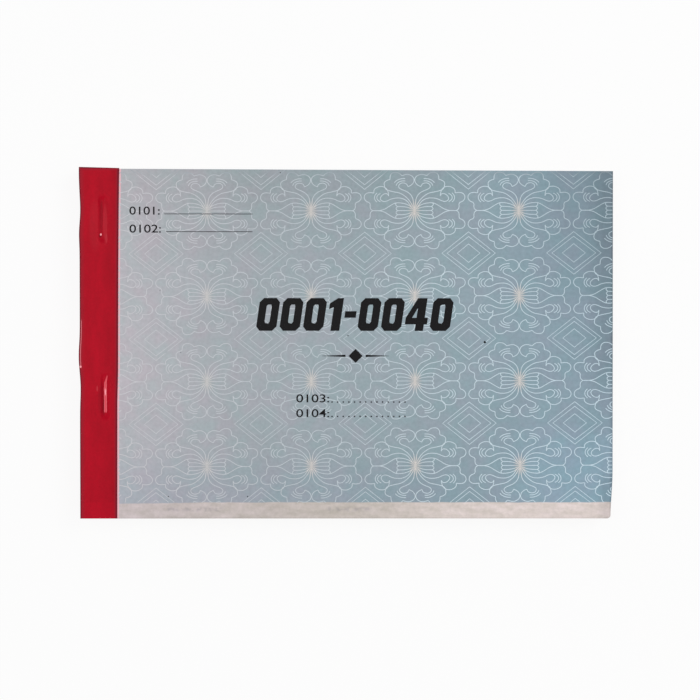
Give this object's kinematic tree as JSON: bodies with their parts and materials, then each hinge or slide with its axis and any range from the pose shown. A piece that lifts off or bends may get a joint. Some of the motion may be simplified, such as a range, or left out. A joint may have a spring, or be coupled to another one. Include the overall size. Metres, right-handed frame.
{
  "type": "triplicate receipt book",
  "caption": "Flat landscape receipt book with a patterned pale blue cover, red binding tape over stapled sets of white, pink and yellow tear-off sheets, and a grey board back.",
  "frame": {"origin": "bottom centre of the closed book's box, on the plane that it lies on", "axes": "+X from the spine to the fore edge (the longest side), +Y from the tail to the head, +Z out of the front cover (the shortest side)"},
  "size_m": [0.19, 0.125, 0.0103],
  "materials": {
    "red_tape": "satin",
    "staple_wire": "satin",
    "cover_paper": "matte",
    "grey_board": "matte",
    "white_paper": "matte",
    "pink_paper": "matte",
    "yellow_paper": "matte"
  },
  "bodies": {
    "bound_block": {"binding_tape": "red_tape", "upper_staple": "staple_wire", "lower_staple": "staple_wire", "front_cover_margin": "cover_paper", "back_cover": "grey_board", "set_1_white_margin": "white_paper", "set_1_pink_margin": "pink_paper", "set_1_yellow_margin": "yellow_paper", "set_2_white_margin": "white_paper", "set_2_pink_margin": "pink_paper", "set_2_yellow_margin": "yellow_paper", "set_3_white_margin": "white_paper", "set_3_pink_margin": "pink_paper", "set_3_yellow_margin": "yellow_paper", "white_sheets": "white_paper", "pink_sheets": "pink_paper", "yellow_sheets": "yellow_paper"},
    "front_cover": {"front_cover": "cover_paper"},
    "set_1_white_leaf": {"set_1_white_leaf": "white_paper"},
    "set_1_pink_leaf": {"set_1_pink_leaf": "pink_paper"},
    "set_1_yellow_leaf": {"set_1_yellow_leaf": "yellow_paper"},
    "set_2_white_leaf": {"set_2_white_leaf": "white_paper"},
    "set_2_pink_leaf": {"set_2_pink_leaf": "pink_paper"},
    "set_2_yellow_leaf": {"set_2_yellow_leaf": "yellow_paper"},
    "set_3_white_leaf": {"set_3_white_leaf": "white_paper"},
    "set_3_pink_leaf": {"set_3_pink_leaf": "pink_paper"},
    "set_3_yellow_leaf": {"set_3_yellow_leaf": "yellow_paper"}
  },
  "joints": [
    {"name": "front_cover_hinge", "type": "hinge", "parent": "bound_block", "child": "front_cover", "pos_m": [-0.0814, 0, 0.00972], "axis": [0, -1, 0], "range_deg": [0, 172]},
    {"name": "set_1_white_leaf_turn", "type": "hinge", "parent": "bound_block", "child": "set_1_white_leaf", "pos_m": [-0.0814, 0, 0.00972], "axis": [0, -1, 0], "range_deg": [0, 160.5]},
    {"name": "set_1_pink_leaf_turn", "type": "hinge", "parent": "bound_block", "child": "set_1_pink_leaf", "pos_m": [-0.0814, 0, 0.00972], "axis": [0, -1, 0], "range_deg": [0, 155.5]},
    {"name": "set_1_yellow_leaf_turn", "type": "hinge", "parent": "bound_block", "child": "set_1_yellow_leaf", "pos_m": [-0.0814, 0, 0.00972], "axis": [0, -1, 0], "range_deg": [0, 150.5]},
    {"name": "set_2_white_leaf_turn", "type": "hinge", "parent": "bound_block", "child": "set_2_white_leaf", "pos_m": [-0.0814, 0, 0.00972], "axis": [0, -1, 0], "range_deg": [0, 138.5]},
    {"name": "set_2_pink_leaf_turn", "type": "hinge", "parent": "bound_block", "child": "set_2_pink_leaf", "pos_m": [-0.0814, 0, 0.00972], "axis": [0, -1, 0], "range_deg": [0, 133.5]},
    {"name": "set_2_yellow_leaf_turn", "type": "hinge", "parent": "bound_block", "child": "set_2_yellow_leaf", "pos_m": [-0.0814, 0, 0.00972], "axis": [0, -1, 0], "range_deg": [0, 128.5]},
    {"name": "set_3_white_leaf_turn", "type": "hinge", "parent": "bound_block", "child": "set_3_white_leaf", "pos_m": [-0.0814, 0, 0.00972], "axis": [0, -1, 0], "range_deg": [0, 116.5]},
    {"name": "set_3_pink_leaf_turn", "type": "hinge", "parent": "bound_block", "child": "set_3_pink_leaf", "pos_m": [-0.0814, 0, 0.00972], "axis": [0, -1, 0], "range_deg": [0, 111.5]},
    {"name": "set_3_yellow_leaf_turn", "type": "hinge", "parent": "bound_block", "child": "set_3_yellow_leaf", "pos_m": [-0.0814, 0, 0.00972], "axis": [0, -1, 0], "range_deg": [0, 106.5]}
  ],
  "couplings": [
    {"joint": "set_1_white_leaf_turn", "follows": "front_cover_hinge", "ratio": 0.93023},
    {"joint": "set_1_pink_leaf_turn", "follows": "front_cover_hinge", "ratio": 0.90116},
    {"joint": "set_1_yellow_leaf_turn", "follows": "front_cover_hinge", "ratio": 0.87209},
    {"joint": "set_2_white_leaf_turn", "follows": "front_cover_hinge", "ratio": 0.80233},
    {"joint": "set_2_pink_leaf_turn", "follows": "front_cover_hinge", "ratio": 0.77326},
    {"joint": "set_2_yellow_leaf_turn", "follows": "front_cover_hinge", "ratio": 0.74419},
    {"joint": "set_3_white_leaf_turn", "follows": "front_cover_hinge", "ratio": 0.67442},
    {"joint": "set_3_pink_leaf_turn", "follows": "front_cover_hinge", "ratio": 0.64535},
    {"joint": "set_3_yellow_leaf_turn", "follows": "front_cover_hinge", "ratio": 0.61628}
  ]
}
